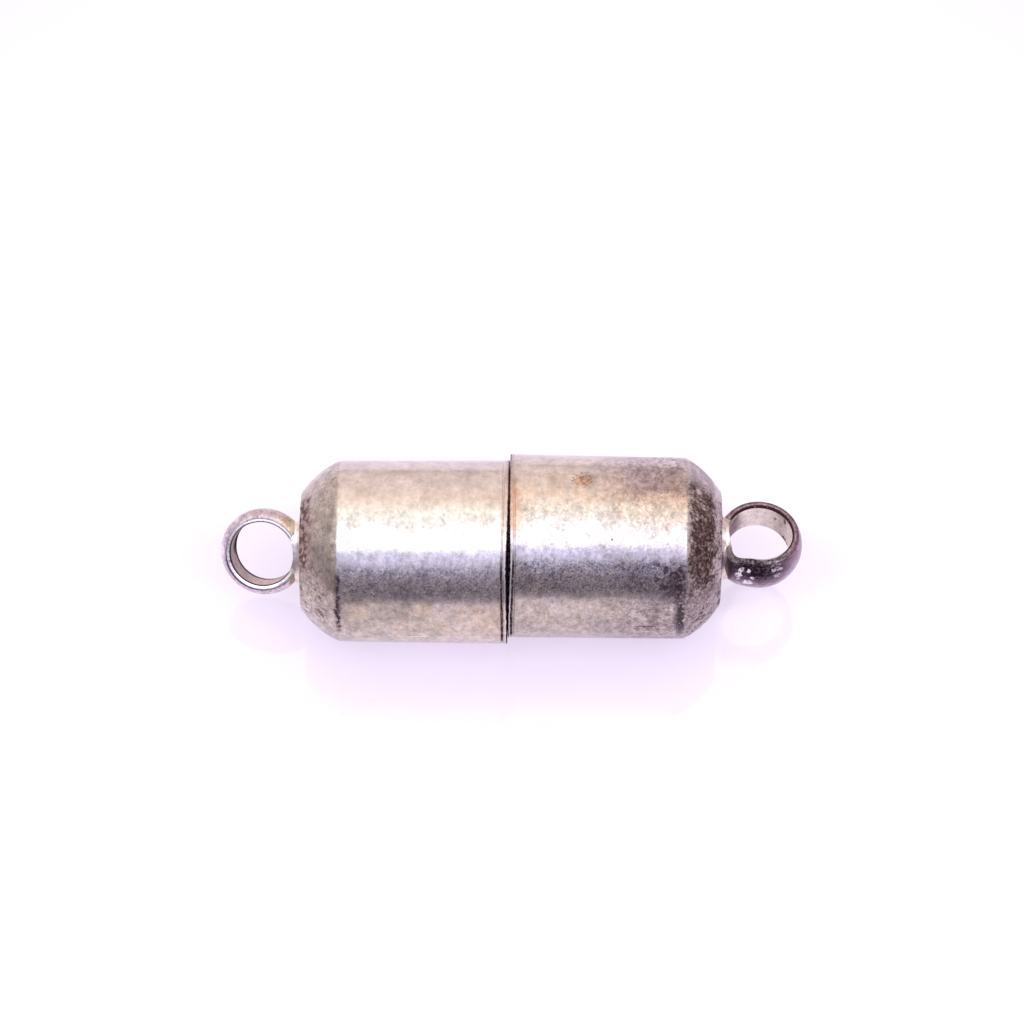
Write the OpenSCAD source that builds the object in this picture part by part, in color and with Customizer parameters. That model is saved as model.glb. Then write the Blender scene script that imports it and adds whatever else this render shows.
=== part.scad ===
// Magnetic barrel clasp, closed and lying on its side: two plated cups with a magnet in each
// and a loop soldered to each outer end. +X runs along the clasp to the right half, +Y to the
// back, +Z up, and the origin is under the middle of the clasp on the surface it lies on.

/* [Barrels] */
// Diameter of a barrel where the shoulder ends
barrel_d = 6.0; // [5.6:0.1:7]
// Length of the left barrel, from its end face to its mouth
left_barrel_l = 6.82; // [6:0.02:8]
// Length of the right barrel, from its end face to its mouth
right_barrel_l = 6.96; // [6:0.02:8]
// How much the diameter grows from the shoulder to the mouth
barrel_taper = 0.08; // [0:0.01:0.2]
// Gap between the two mouths when the clasp is closed
seam_gap = 0.1; // [0.1:0.02:0.3]
// How far the two barrels lie out of line, because only magnets hold them
barrel_offset = 0.24; // [0:0.02:0.5]
// How far the left half points off the clasp's line, for the same reason
left_half_yaw = 0.6; // [0:0.1:0.8]
// Depth of the worn flat underneath, which each barrel rests on
rest_flat_depth = 0.12; // [0.02:0.01:0.14]

/* [Shoulder] */
// Length of the left barrel's rounded shoulder
left_shoulder_l = 1.28; // [1:0.02:1.6]
// Length of the right barrel's rounded shoulder
right_shoulder_l = 1.2; // [1:0.02:1.6]
// Radius of the left barrel's flat end face, to the start of its rounded edge
left_end_face_r = 1.9; // [1.6:0.02:1.94]
// Radius of the right barrel's flat end face, to the start of its rounded edge
right_end_face_r = 1.84; // [1.6:0.02:1.94]
// Radius of the rounded edge of an end face
end_edge_r = 0.16; // [0.1:0.02:0.2]
// Radius of a shoulder's convex curve
shoulder_r = 2.9; // [2.6:0.1:5]

/* [Mouth] */
// Width of the lip at the mouth
lip_w = 0.13; // [0.1:0.01:0.3]
// Width of the fine groove behind the lip
groove_w = 0.06; // [0.04:0.01:0.12]
// Depth of the fine groove behind the lip
groove_depth = 0.04; // [0.02:0.01:0.06]
// Rounding of the outer edge of the mouth
mouth_edge_r = 0.05; // [0.02:0.01:0.08]

/* [Magnets] */
// Diameter of a magnet
magnet_d = 5.1; // [4.5:0.1:5.2]
// Length of a magnet
magnet_l = 4.0; // [3:0.5:5]
// Gap round the magnet in its cup
magnet_gap = 0.04; // [0.02:0.01:0.1]
// How far a magnet stands out of its cup
magnet_proud = 0.03; // [0:0.01:0.03]
// Bevel on the rim of the magnet's face
magnet_bevel = 0.12; // [0.05:0.01:0.3]

/* [Loops] */
// Diameter of the hole in a loop
loop_bore_d = 2.14; // [1.8:0.02:2.2]
// Outer diameter of a loop at the crown of its band
loop_crown_d = 2.88; // [2.7:0.02:3.2]
// Width of a band on the gentle side of its crown
band_gentle_w = 0.7; // [0.4:0.02:0.8]
// Radius of a band's outside on the gentle side
band_gentle_r = 1.42; // [1.2:0.02:1.42]
// Width of the left band on the steep side of its crown
band_steep_w = 0.36; // [0.2:0.02:0.4]
// Radius of the left band's outside on the steep side
band_steep_r = 0.42; // [0.4:0.02:0.6]
// Width of the right band under its crown, at the back of the clasp
right_band_back_w = 0.34; // [0.3:0.02:0.5]
// Width of the right band under its crown, at the front of the clasp, where it is wider
right_band_front_w = 0.8; // [0.5:0.02:0.86]
// Distance from the left end face to the middle of its loop
left_loop_x = 1.25; // [1.18:0.01:1.4]
// Distance from the right end face to the middle of its loop
right_loop_x = 1.27; // [1.18:0.01:1.4]
// Turn of the left loop about the clasp, from lying open to the front to facing up
left_loop_turn = 50; // [0:1:180]
// Turn of the right loop about the clasp, from lying open to the front to facing up
right_loop_turn = 98; // [0:1:180]
// How far the left loop's open side leans away from its barrel
left_loop_skew = 9; // [0:1:9]
// How far the right loop's open side leans away from its barrel
right_loop_skew = 3; // [0:1:9]
// How far the left loop is soldered off the middle of the end face
left_loop_off = -0.04; // [-0.2:0.02:0.2]
// How far the right loop is soldered off the middle of the end face
right_loop_off = 0.2; // [-0.2:0.02:0.2]

/* [Solder] */
// Height of the solder neck where it meets the end face
solder_h = 2.1; // [1.8:0.02:2.4]
// How far the solder neck stays inside the edges of the band
solder_inset = 0.08; // [0.04:0.02:0.2]
// How far the solder neck reaches from the end face
solder_reach = 0.5; // [0.3:0.02:0.6]
// Radius of the neck's hollowed sides
solder_hollow_r = 0.8; // [0.5:0.1:2]
// Depth of the neck's hollowed sides
solder_hollow = 0.06; // [0.02:0.02:0.1]

/* [Hidden] */

silver = [0.78, 0.75, 0.7];
tarnished_silver = [0.62, 0.56, 0.52];
nickel = [0.72, 0.72, 0.74];

// Facets of a full turn of the barrels, and of the small round parts
$fn = 96;
small_fn = 32;
curve_fn = 200;

// The barrel is widest at its mouth, and lies on the worn flat behind it
barrel_r = barrel_d / 2;
mouth_r = barrel_r + barrel_taper / 2;
axis_z = mouth_r - rest_flat_depth;

// The cup for the magnet is a flat-bottomed bore
cup_r = magnet_d / 2 + magnet_gap;
cup_depth = magnet_l + magnet_gap - magnet_proud;

loop_bore_r = loop_bore_d / 2;
crown_r = loop_crown_d / 2;

// Reach of a half past its end face: the band's outermost point lies on the side of its crown
// that the loop's lean turns outwards, and that side has the radius band_r
function loop_reach(loop_x, band_r, skew) = loop_x + (crown_r - band_r) * cos(skew) + band_r;
left_reach = left_barrel_l + loop_reach(left_loop_x, band_steep_r, left_loop_skew);
right_reach = right_barrel_l + loop_reach(right_loop_x, band_gentle_r, right_loop_skew);
seam_x = (left_reach - right_reach) / 2;

// Overlap of solids that are joined, and of a cut past its wall
sink = 0.2;

// The left half's yaw makes its front stand out past its mouth, so the middle moves back by half
yaw_reach = (left_barrel_l - left_shoulder_l) * sin(left_half_yaw) + barrel_r * cos(left_half_yaw) - mouth_r;
middle_y = max(0, yaw_reach) / 2;

// Half length of a cut that takes in the whole clasp
clear_l = 2 * left_barrel_l;

// Middle of the circle of a shoulder's curve, which runs from the rounded edge of the end face
// to the start of the straight side
function curve_centre(start, end) = let (chord = end - start, half_l = norm(chord) / 2)
    (start + end) / 2 + [chord[1], -chord[0]] / (2 * half_l) * sqrt(pow(shoulder_r, 2) - pow(half_l, 2));

// Half section of a barrel: x runs from the end face to the mouth, y is the radius
module barrel_section(length, shoulder_l, end_face_r) {
    curve_start = [end_edge_r * 0.6, end_face_r + end_edge_r * 0.9];
    difference() {
        intersection() {
            polygon([
                [0, 0],
                [0, end_face_r],
                [end_edge_r, end_face_r + end_edge_r],
                [end_edge_r, barrel_r],
                [shoulder_l, barrel_r],
                [length, mouth_r],
                [length, 0]
            ]);
            union() {
                translate(curve_centre(curve_start, [shoulder_l, barrel_r]))
                    circle(r = shoulder_r, $fn = curve_fn);
                translate([shoulder_l, 0]) square([length, barrel_d]);
            }
        }
        translate([length - lip_w - groove_w / 2, mouth_r + groove_w / 2 - groove_depth])
            circle(d = groove_w, $fn = small_fn);
        mouth_edge_cut(length);
    }
}

// What the rounding takes off the outer edge of the mouth
module mouth_edge_cut(length) {
    translate([length - mouth_edge_r, mouth_r - mouth_edge_r]) difference() {
        square(2 * mouth_edge_r);
        circle(r = mouth_edge_r, $fn = small_fn);
    }
}

// One barrel along +X, from its end face at 0 to its open mouth
module barrel(length, shoulder_l, end_face_r) {
    difference() {
        rotate([0, 90, 0]) rotate_extrude() mirror([1, -1])
            barrel_section(length, shoulder_l, end_face_r);
        translate([length - cup_depth, 0, 0]) rotate([0, 90, 0]) cylinder(r = cup_r, h = cup_depth + sink);
    }
}

// One side of the loop's band, from its crown at 0 to its rim at width
module band_side(width, band_r) {
    intersection() {
        translate([crown_r - band_r, 0]) circle(r = band_r, $fn = curve_fn);
        translate([loop_bore_r, 0]) square([crown_r, width]);
    }
}

// The left loop's band, its steep side up: flat inside, rounded outside, its crown off the middle
module left_band() {
    rotate_extrude() {
        band_side(band_steep_w, band_steep_r);
        mirror([0, 1]) band_side(band_gentle_w, band_gentle_r);
    }
}

// The right loop's band: as round as a bead, and cut off aslant below, so that its front is wider
module right_band() {
    slant = atan((right_band_front_w - right_band_back_w) / loop_crown_d);
    middle_w = (right_band_front_w + right_band_back_w) / 2;
    difference() {
        rotate_extrude() {
            band_side(band_gentle_w, band_gentle_r);
            mirror([0, 1]) band_side(right_band_front_w, band_gentle_r);
        }
        translate([0, 0, -middle_w]) rotate([slant, 0, 0]) translate([-barrel_d, -barrel_d, -barrel_d])
            cube([2 * barrel_d, 2 * barrel_d, barrel_d]);
    }
}

// Outline of the solder neck in the plane of the loop, with hollowed sides
module solder_outline(loop_x) {
    difference() {
        translate([-loop_x - sink, -solder_h / 2]) square([solder_reach + sink, solder_h]);
        for (side = [-1, 1])
            translate([solder_reach / 2 - loop_x, side * (solder_h / 2 + solder_hollow_r - solder_hollow)])
                circle(r = solder_hollow_r);
    }
}

// The solder neck between the heights low and high of a loop's band, with the loop's hole along Z
// and the barrel towards -X
module solder_neck(loop_x, low, high) {
    difference() {
        translate([0, 0, low + solder_inset]) linear_extrude(high - low - 2 * solder_inset)
            solder_outline(loop_x);
        translate([0, 0, -crown_r]) cylinder(r = loop_bore_r, h = 2 * crown_r);
    }
}

// Turns a loop so that its open side leans away from the barrel at +X and faces up or forward
module turn_loop(loop_x, off, turn, skew) {
    translate([-loop_x, 0, 0]) rotate([90 - turn, 0, 0]) translate([0, off, 0])
        rotate([0, -skew, 0]) mirror([1, 0, 0]) children();
}

// Puts a half that runs along +X, its mouth at length, in its place on the left
module place_left(length) {
    translate([seam_x - seam_gap / 2, middle_y - barrel_offset / 2, axis_z])
        rotate([0, 0, left_half_yaw]) translate([-length, 0, 0]) children();
}

// The same on the right, facing the left half
module place_right(length) {
    translate([seam_x + seam_gap / 2 + length, middle_y + barrel_offset / 2, axis_z])
        mirror([1, 0, 0]) children();
}

// Wears a placed barrel flat underneath, where it lies on the surface
module rest_flat() {
    difference() {
        children();
        translate([-clear_l, -barrel_d, -barrel_d]) cube([2 * clear_l, 2 * barrel_d, barrel_d]);
    }
}

// A magnet along +X, with its face at 0
module magnet() {
    rotate([0, 90, 0]) rotate_extrude() polygon([
        [0, -magnet_l],
        [magnet_d / 2, -magnet_l],
        [magnet_d / 2, -magnet_bevel],
        [magnet_d / 2 - magnet_bevel, 0],
        [0, 0]
    ]);
}

module left_barrel() {
    color(silver) rest_flat() place_left(left_barrel_l) {
        barrel(left_barrel_l, left_shoulder_l, left_end_face_r);
        turn_loop(left_loop_x, left_loop_off, left_loop_turn, left_loop_skew) {
            left_band();
            solder_neck(left_loop_x, -band_gentle_w, band_steep_w);
        }
    }
}

module left_magnet() {
    color(nickel) place_left(left_barrel_l) translate([left_barrel_l + magnet_proud, 0, 0]) magnet();
}

module right_barrel() {
    color(tarnished_silver) rest_flat() place_right(right_barrel_l) {
        barrel(right_barrel_l, right_shoulder_l, right_end_face_r);
        turn_loop(right_loop_x, right_loop_off, right_loop_turn, right_loop_skew) {
            right_band();
            solder_neck(right_loop_x, -right_band_back_w, band_gentle_w);
        }
    }
}

module right_magnet() {
    color(nickel) place_right(right_barrel_l) translate([right_barrel_l + magnet_proud, 0, 0]) magnet();
}

left_barrel();
left_magnet();
right_barrel();
right_magnet();
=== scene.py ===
import math

import bmesh
import bpy
from mathutils import Matrix, Vector, noise


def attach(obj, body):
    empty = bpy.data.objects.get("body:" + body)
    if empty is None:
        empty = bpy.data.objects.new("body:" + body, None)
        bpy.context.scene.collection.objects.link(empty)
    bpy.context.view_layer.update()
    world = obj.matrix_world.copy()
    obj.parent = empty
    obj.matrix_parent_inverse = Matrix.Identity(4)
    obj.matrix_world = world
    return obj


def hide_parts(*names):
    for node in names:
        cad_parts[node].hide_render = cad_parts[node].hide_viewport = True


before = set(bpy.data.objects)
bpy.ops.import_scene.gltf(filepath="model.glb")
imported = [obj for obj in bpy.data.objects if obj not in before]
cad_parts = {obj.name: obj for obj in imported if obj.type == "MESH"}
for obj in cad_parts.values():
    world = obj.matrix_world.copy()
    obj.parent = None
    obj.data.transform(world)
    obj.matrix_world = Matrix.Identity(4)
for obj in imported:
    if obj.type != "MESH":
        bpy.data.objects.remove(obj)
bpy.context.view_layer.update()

# Sizes are in millimetres, as in the part's source. Meshes turn into metres when they are placed.
MM = 0.001
MIRROR_X = Matrix.Scale(-1, 4, (1, 0, 0))

# Barrels: each one's length, the length of its shoulder and the radius of its flat end face
LEFT_BARREL = {"length": 6.82, "shoulder": 1.28, "end_face": 1.9}
RIGHT_BARREL = {"length": 6.96, "shoulder": 1.2, "end_face": 1.84}
BARREL_R = 3.0
MOUTH_R = 3.04
END_EDGE_R = 0.16
SHOULDER_R = 2.9
LIP_W = 0.13
GROOVE_W = 0.07
GROOVE_DEPTH = 0.02
MOUTH_EDGE_R = 0.03
CUP_R = 2.59
CUP_DEPTH = 4.01
CUP_BEVEL = 0.03

# Where the two halves lie: the gap between them, how far they are out of line, how far the left
# one points off the clasp's line in degrees, and the height of their axes over the floor
SEAM_X = -0.08627
SEAM_GAP = 0.1
BARREL_OFFSET = 0.24
MIDDLE_Y = 0.00892
LEFT_YAW = 0.6
AXIS_Z = 2.92

# A shallow crease where the shoulder was pressed, and the slight waviness of the pressed metal,
# which fades out before the mouth
CREASE_W = 0.09
CREASE_DEPTH = 0.014
WAVE_LENGTH = 1.1
WAVE_HEIGHT = 0.006
WAVE_END = 0.35
WAVE_FADE = 0.5

# The mouths reach towards each other, but for a dent in their edges where the gap is wider
MOUTH_REACH = 0.038
LEFT_LEAN = 0.03
REACH_LENGTH = 0.6
DENT_DEPTH = 0.045
DENT_AT = 50
DENT_WIDTH = 24

# Magnets
MAGNET_R = 2.55
MAGNET_L = 4.0
MAGNET_PROUD = 0.03
MAGNET_BEVEL = 0.12

# Loops
BORE_R = 1.07
CROWN_R = 1.44
STEEP_W = 0.36
STEEP_R = 0.42
GENTLE_W = 0.7
GENTLE_R = 1.42
RIGHT_FRONT_W = 0.8
RIGHT_BACK_W = 0.34
RIM_RISE = 0.04
RIM_RIDGE = 0.09
RIM_DRIFT = 0.035

# The right loop's band is bent out of round beside its solder, most at the rim that faces up
BEND_AT = math.radians(-50)
BEND_WIDTH = math.radians(17)
BEND_NEAR = 0.3
BEND_FAR = 0.1

# The plug that keeps a loop's hole clear of solder
PLUG_L = 3.0
PLUG_PLAY = 0.002

# Each loop's distance from its end face, how far it is soldered off the middle, its turn
# about the clasp and its lean away from the barrel
LEFT_LOOP = {"x": 1.25, "off": -0.04, "turn": 50, "skew": 9}
RIGHT_LOOP = {"x": 1.27, "off": 0.2, "turn": 98, "skew": 3}

# The solder that holds each loop: the same, with its reach to the near and the far side. Its
# sections would be circles at a roundness of 1, and get squarer below that.
ROUNDNESS = 0.88
LEFT_SOLDER = {"x": 1.25, "off": -0.04, "turn": 50, "skew": 0, "near": 0.64, "far": 0.62}
RIGHT_SOLDER = {"x": 1.27, "off": 0.0, "turn": 68, "skew": 0, "near": 0.88, "far": 0.62}

# Segments round a barrel, a loop, a magnet and a solder neck
BARREL_STEPS = 176
LOOP_STEPS = 112
MAGNET_STEPS = 128
SOLDER_STEPS = 48

# Segments along a barrel's shoulder, past its crease, where they are short, and along its side,
# and segments from the crown of a loop's band to its rim
SHOULDER_STEPS = 24
CREASE_STEPS = 6
CREASE_STEP = 0.045
SIDE_STEPS = 48
BAND_STEPS = 10

# Edges sharper than this many degrees stay sharp, and points closer than this are one
SHARP_ANGLE = 38
MERGE_DISTANCE = 1e-5


# Mesh helpers

def arc(centre, radius, start, stop, steps):
    """Points on an arc from one angle to another, in degrees."""
    points = []
    for i in range(steps + 1):
        angle = math.radians(start + (stop - start) * i / steps)
        points.append((centre[0] + radius * math.cos(angle), centre[1] + radius * math.sin(angle)))
    return points


def spun(points, steps):
    """A closed bmesh from a section of (along, radius) points, spun about X."""
    bm = bmesh.new()
    verts = [bm.verts.new((along, radius, 0)) for along, radius in points]
    for a, b in zip(verts, verts[1:]):
        bm.edges.new((a, b))
    if points[0][1] > 0:
        bm.edges.new((verts[-1], verts[0]))
    bmesh.ops.spin(bm, geom=bm.verts[:] + bm.edges[:], cent=(0, 0, 0), axis=(1, 0, 0), dvec=(0, 0, 0),
                   angle=math.tau, steps=steps, use_merge=True, use_duplicate=False)
    bmesh.ops.remove_doubles(bm, verts=bm.verts, dist=MERGE_DISTANCE)
    bmesh.ops.recalc_face_normals(bm, faces=bm.faces)
    return bm


def new_object(name, data):
    """An object at the origin of the scene."""
    obj = bpy.data.objects.new(name, data)
    bpy.context.scene.collection.objects.link(obj)
    return obj


def mesh_object(bm, name):
    """An object at the origin with the mesh of a bmesh, which it frees."""
    mesh = bpy.data.meshes.new(name)
    bm.to_mesh(mesh)
    bm.free()
    return new_object(name, mesh)


def piece_from(bm, name, matrix, metal=0):
    """A mesh object at the origin, its place in its mesh, from a bmesh in millimetres."""
    for face in bm.faces:
        face.material_index = metal
    bmesh.ops.transform(bm, matrix=Matrix.Scale(MM, 4) @ matrix, verts=bm.verts)
    bmesh.ops.recalc_face_normals(bm, faces=bm.faces)
    return mesh_object(bm, name)


def combine(base, tool, operation):
    """Joins tool to base, or cuts it out, and removes the tool. Faces keep their material's number."""
    modifier = base.modifiers.new(operation, "BOOLEAN")
    modifier.operation = operation
    modifier.solver = "EXACT"
    modifier.material_mode = "INDEX"
    modifier.object = tool
    depsgraph = bpy.context.evaluated_depsgraph_get()
    mesh = bpy.data.meshes.new_from_object(base.evaluated_get(depsgraph))
    base.modifiers.clear()
    old = base.data
    base.data = mesh
    bpy.data.meshes.remove(old)
    bpy.data.objects.remove(tool)


def shade(obj):
    """Smooth shading, but for the sharp edges."""
    obj.data.shade_smooth()
    obj.data.set_sharp_from_angle(angle=math.radians(SHARP_ANGLE))


# Barrels

def curve_start(barrel):
    """Where a shoulder's curve leaves the rounded edge of the end face."""
    return Vector((END_EDGE_R * 0.6, barrel["end_face"] + END_EDGE_R * 0.9))


def curve_centre(barrel):
    """Middle of the circle of a shoulder's curve, from its two ends and its radius."""
    start = curve_start(barrel)
    end = Vector((barrel["shoulder"], BARREL_R))
    chord = end - start
    depth = math.sqrt(SHOULDER_R ** 2 - (chord.length / 2) ** 2)
    return (start + end) / 2 + Vector((chord.y, -chord.x)).normalized() * depth


def outer_radius(x, barrel):
    """Radius of a barrel's outside at a distance from its end face."""
    start = barrel["shoulder"]
    taper = BARREL_R + (MOUTH_R - BARREL_R) * max(0, x - start) / (barrel["length"] - start)
    crease = CREASE_DEPTH * math.exp(-((x - start) / CREASE_W) ** 2)
    if x >= start:
        return taper - crease
    centre = curve_centre(barrel)
    return centre.y + math.sqrt(SHOULDER_R ** 2 - (x - centre.x) ** 2) - crease


def barrel_section(barrel):
    """Section of a barrel, from the middle of its end face round to the middle of its cup's floor."""
    length = barrel["length"]
    shoulder = barrel["shoulder"]
    end_face = barrel["end_face"]
    points = [(0, 0)]
    points += [(0, r) for r in (1.3, 1.6, end_face - 0.04)]
    points += arc((END_EDGE_R, end_face - 0.02), END_EDGE_R, 180, 125, 7)
    groove_x = length - LIP_W - GROOVE_W / 2
    curve_x = END_EDGE_R * 0.8
    side = [curve_x + (shoulder - curve_x) * i / SHOULDER_STEPS for i in range(SHOULDER_STEPS + 1)]
    side += [shoulder + CREASE_STEP * i for i in range(1, CREASE_STEPS + 1)]
    flat_x = shoulder + CREASE_STEP * CREASE_STEPS
    flat_l = groove_x - GROOVE_W - flat_x
    side += [flat_x + flat_l * i / SIDE_STEPS for i in range(1, SIDE_STEPS + 1)]
    points += [(x, outer_radius(x, barrel)) for x in side]
    groove_r = GROOVE_W / 2
    edge = math.degrees(math.asin((groove_r - GROOVE_DEPTH) / groove_r))
    points += arc((groove_x, MOUTH_R + groove_r - GROOVE_DEPTH), groove_r, 182 + edge, 358 - edge, 8)
    points += arc((length - MOUTH_EDGE_R, MOUTH_R - MOUTH_EDGE_R), MOUTH_EDGE_R, 90, 0, 5)
    points += [(length, CUP_R + CUP_BEVEL), (length - CUP_BEVEL, CUP_R)]
    points += [(length - CUP_DEPTH * i / 4, CUP_R) for i in range(1, 5)]
    points += [(length - CUP_DEPTH, 0)]
    return points


def waviness(bm, length, seed):
    """Moves a barrel's outside in and out a little, as pressed metal is."""
    offset = Vector((seed * 7.3, seed * 3.1, seed))
    for vert in bm.verts:
        x = vert.co.x
        radius = math.hypot(vert.co.y, vert.co.z)
        on_side = radius > CUP_R + 0.1 and x < length - WAVE_END
        if not on_side:
            continue
        fade = min(1, (length - WAVE_END - x) / WAVE_FADE)
        lift = WAVE_HEIGHT * fade * noise.noise(vert.co / WAVE_LENGTH + offset)
        vert.co.y *= 1 + lift / radius
        vert.co.z *= 1 + lift / radius


def shape_mouth(bm, length, lean):
    """Moves a barrel's mouth towards the other one, the back further, but less at the dent."""
    for vert in bm.verts:
        share = max(0, 1 - (length - vert.co.x) / REACH_LENGTH)
        up_from_front = math.degrees(math.atan2(vert.co.z, -vert.co.y))
        dent = math.exp(-((up_from_front - DENT_AT) / DENT_WIDTH) ** 2)
        vert.co.x += share * (MOUTH_REACH + lean * vert.co.y / MOUTH_R - DENT_DEPTH * dent)


def barrel_mesh(barrel, seed):
    bm = spun(barrel_section(barrel), BARREL_STEPS)
    waviness(bm, barrel["length"], seed)
    shape_mouth(bm, barrel["length"], LEFT_LEAN if barrel is LEFT_BARREL else 0)
    return bm


# Loops and solder

def rim_points(width, outer_r):
    """One rim of a loop's band, from its bore out: a worn slope, a low ridge and a slope down."""
    ridge = BORE_R + RIM_RIDGE
    return [(width - RIM_RISE, BORE_R), (width - 0.022, BORE_R + 0.025), (width - 0.002, ridge - 0.007),
            (width - 0.002, ridge + 0.007), (width - 0.025, min(ridge + 0.075, outer_r - 0.02)),
            (width - RIM_RISE, outer_r)]


def band_curve(width, radius):
    """The band's outside from its crown to one rim, as (along the hole, radius) points."""
    top = math.asin((width - RIM_RISE) / radius)
    points = []
    for i in range(1, BAND_STEPS):
        angle = top * i / BAND_STEPS
        points.append((radius * math.sin(angle), CROWN_R - radius + radius * math.cos(angle)))
    return points


def band_rim_r(width, radius):
    return CROWN_R - radius + math.sqrt(radius ** 2 - (width - RIM_RISE) ** 2)


def loop_section(near_w, near_r, far_w, far_r):
    """Section of a loop's band as (along the hole, radius), round from the rim that faces up."""
    points = rim_points(near_w, band_rim_r(near_w, near_r))
    points += reversed(band_curve(near_w, near_r))
    points.append((0, CROWN_R))
    points += [(-along, radius) for along, radius in band_curve(far_w, far_r)]
    points += [(-along, radius) for along, radius in reversed(rim_points(far_w, band_rim_r(far_w, far_r)))]
    inside = near_w + far_w - 2 * RIM_RISE
    points += [(RIM_RISE - far_w + inside * i / 6, BORE_R) for i in range(1, 6)]
    return points


def upright(bm):
    """Turns a shape that was spun about X so that its axis is Z, its near side up."""
    bmesh.ops.transform(bm, matrix=Matrix.Rotation(math.radians(-90), 4, "Y"), verts=bm.verts)
    return bm


def left_band():
    """The left loop's band, the ridge of its rim nearer the hole at the back than at the front."""
    bm = upright(spun(loop_section(STEEP_W, STEEP_R, GENTLE_W, GENTLE_R), LOOP_STEPS))
    for vert in bm.verts:
        radius = math.hypot(vert.co.x, vert.co.y)
        on_ridge = vert.co.z > STEEP_W - RIM_RISE + 0.005 and radius > BORE_R + 0.03
        if on_ridge:
            shrink = 1 - RIM_DRIFT * vert.co.y / radius / radius
            vert.co.x *= shrink
            vert.co.y *= shrink
    return bm


def right_band():
    """The right loop's band: as round as a bead, and cut off aslant below."""
    bm = upright(spun(loop_section(GENTLE_W, GENTLE_R, RIGHT_FRONT_W + RIM_RISE, GENTLE_R), LOOP_STEPS))
    slant = math.atan((RIGHT_FRONT_W - RIGHT_BACK_W) / (2 * CROWN_R))
    middle = Vector((0, 0, -(RIGHT_FRONT_W + RIGHT_BACK_W) / 2))
    outwards = Vector((0, math.sin(slant), -math.cos(slant)))
    cut = bmesh.ops.bisect_plane(bm, geom=bm.verts[:] + bm.edges[:] + bm.faces[:], dist=MERGE_DISTANCE,
                                 plane_co=middle, plane_no=outwards, clear_outer=True)
    edges = [item for item in cut["geom_cut"] if isinstance(item, bmesh.types.BMEdge)]
    bmesh.ops.bridge_loops(bm, edges=edges)
    bend(bm)
    return bm


def bend(bm):
    """Bends what lies round the right loop's hole out of round, beside the solder."""
    for vert in bm.verts:
        angle = math.atan2(vert.co.y, vert.co.x)
        share = min(1, max(0, (vert.co.z + RIGHT_FRONT_W) / (GENTLE_W + RIGHT_FRONT_W)))
        amount = BEND_FAR + (BEND_NEAR - BEND_FAR) * share
        swell = 1 + amount / CROWN_R * math.exp(-((angle - BEND_AT) / BEND_WIDTH) ** 2)
        vert.co.x *= swell
        vert.co.y *= swell


def squarer(share):
    """A cosine or sine, pushed outwards so that a circle of them gets a little squarer."""
    return math.copysign(abs(share) ** ROUNDNESS, share)


def ring_edges(ring, get_edge):
    """The edges between the neighbours of a ring of vertices."""
    return [get_edge((a, b)) for a, b in zip(ring, ring[1:] + ring[:1])]


def solder_mesh(solder):
    """The solder neck in its own frame, its barrel towards +X, as rounded sections along X."""
    middle = (solder["near"] - solder["far"]) / 2
    half_w = (solder["near"] + solder["far"]) / 2
    stations = [
        # distance out of the end face, half height, share of the half width
        (-0.16, 1.26, 1.24),
        (-0.02, 1.2, 1.16),
        (0.03, 1.1, 1.06),
        (0.1, 1.04, 1.0),
        (0.2, 1.01, 0.97),
        (0.34, 0.97, 0.9),
        (0.5, 0.82, 0.8),
        (0.66, 0.5, 0.6),
    ]
    bm = bmesh.new()
    rings = []
    for out, half_h, share in stations:
        ring = []
        for i in range(SOLDER_STEPS):
            angle = math.tau * i / SOLDER_STEPS
            y = half_h * squarer(math.cos(angle))
            z = middle + half_w * share * squarer(math.sin(angle))
            ring.append(bm.verts.new((solder["x"] - out, y, z)))
        ring_edges(ring, bm.edges.new)
        rings.append(ring)
    for ring, after in zip(rings, rings[1:]):
        bmesh.ops.bridge_loops(bm, edges=ring_edges(ring, bm.edges.get) + ring_edges(after, bm.edges.get))
    for ring in (rings[0], rings[-1]):
        bmesh.ops.contextual_create(bm, geom=ring)
    bmesh.ops.recalc_face_normals(bm, faces=bm.faces)
    return bm


def bore_mesh(bent):
    """The plug that keeps a loop's hole clear of solder."""
    bm = bmesh.new()
    radius = BORE_R + PLUG_PLAY
    bmesh.ops.create_cone(bm, cap_ends=True, segments=LOOP_STEPS, radius1=radius, radius2=radius,
                          depth=PLUG_L)
    if bent:
        bend(bm)
    return bm


# Numbers of the materials on a half's metal
PLATE, SOLDER, LOOP = range(3)


def loop_turn(loop):
    """A loop's frame, its hole along Z and its barrel towards +X, in its barrel's frame."""
    return (
        Matrix.Translation((-loop["x"], 0, 0))
        @ Matrix.Rotation(math.radians(90 - loop["turn"]), 4, "X")
        @ Matrix.Translation((0, loop["off"], 0))
        @ Matrix.Rotation(math.radians(-loop["skew"]), 4, "Y")
    )


def half(name, barrel, loop, solder_place, band, place, seed):
    """One half's metal: a barrel with its loop soldered on, in its place, worn flat underneath."""
    turned = place @ loop_turn(loop)
    metal = piece_from(barrel_mesh(barrel, seed), name, place, PLATE)
    solder = piece_from(solder_mesh(solder_place), "solder", place @ loop_turn(solder_place), SOLDER)
    plug = piece_from(bore_mesh(loop is RIGHT_LOOP), "bore", turned, SOLDER)
    combine(solder, plug, "DIFFERENCE")
    combine(metal, solder, "UNION")
    combine(metal, piece_from(band, "ring", turned, LOOP), "UNION")
    for vert in metal.data.vertices:
        vert.co.z = max(vert.co.z, 0)
    shade(metal)
    return metal


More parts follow.
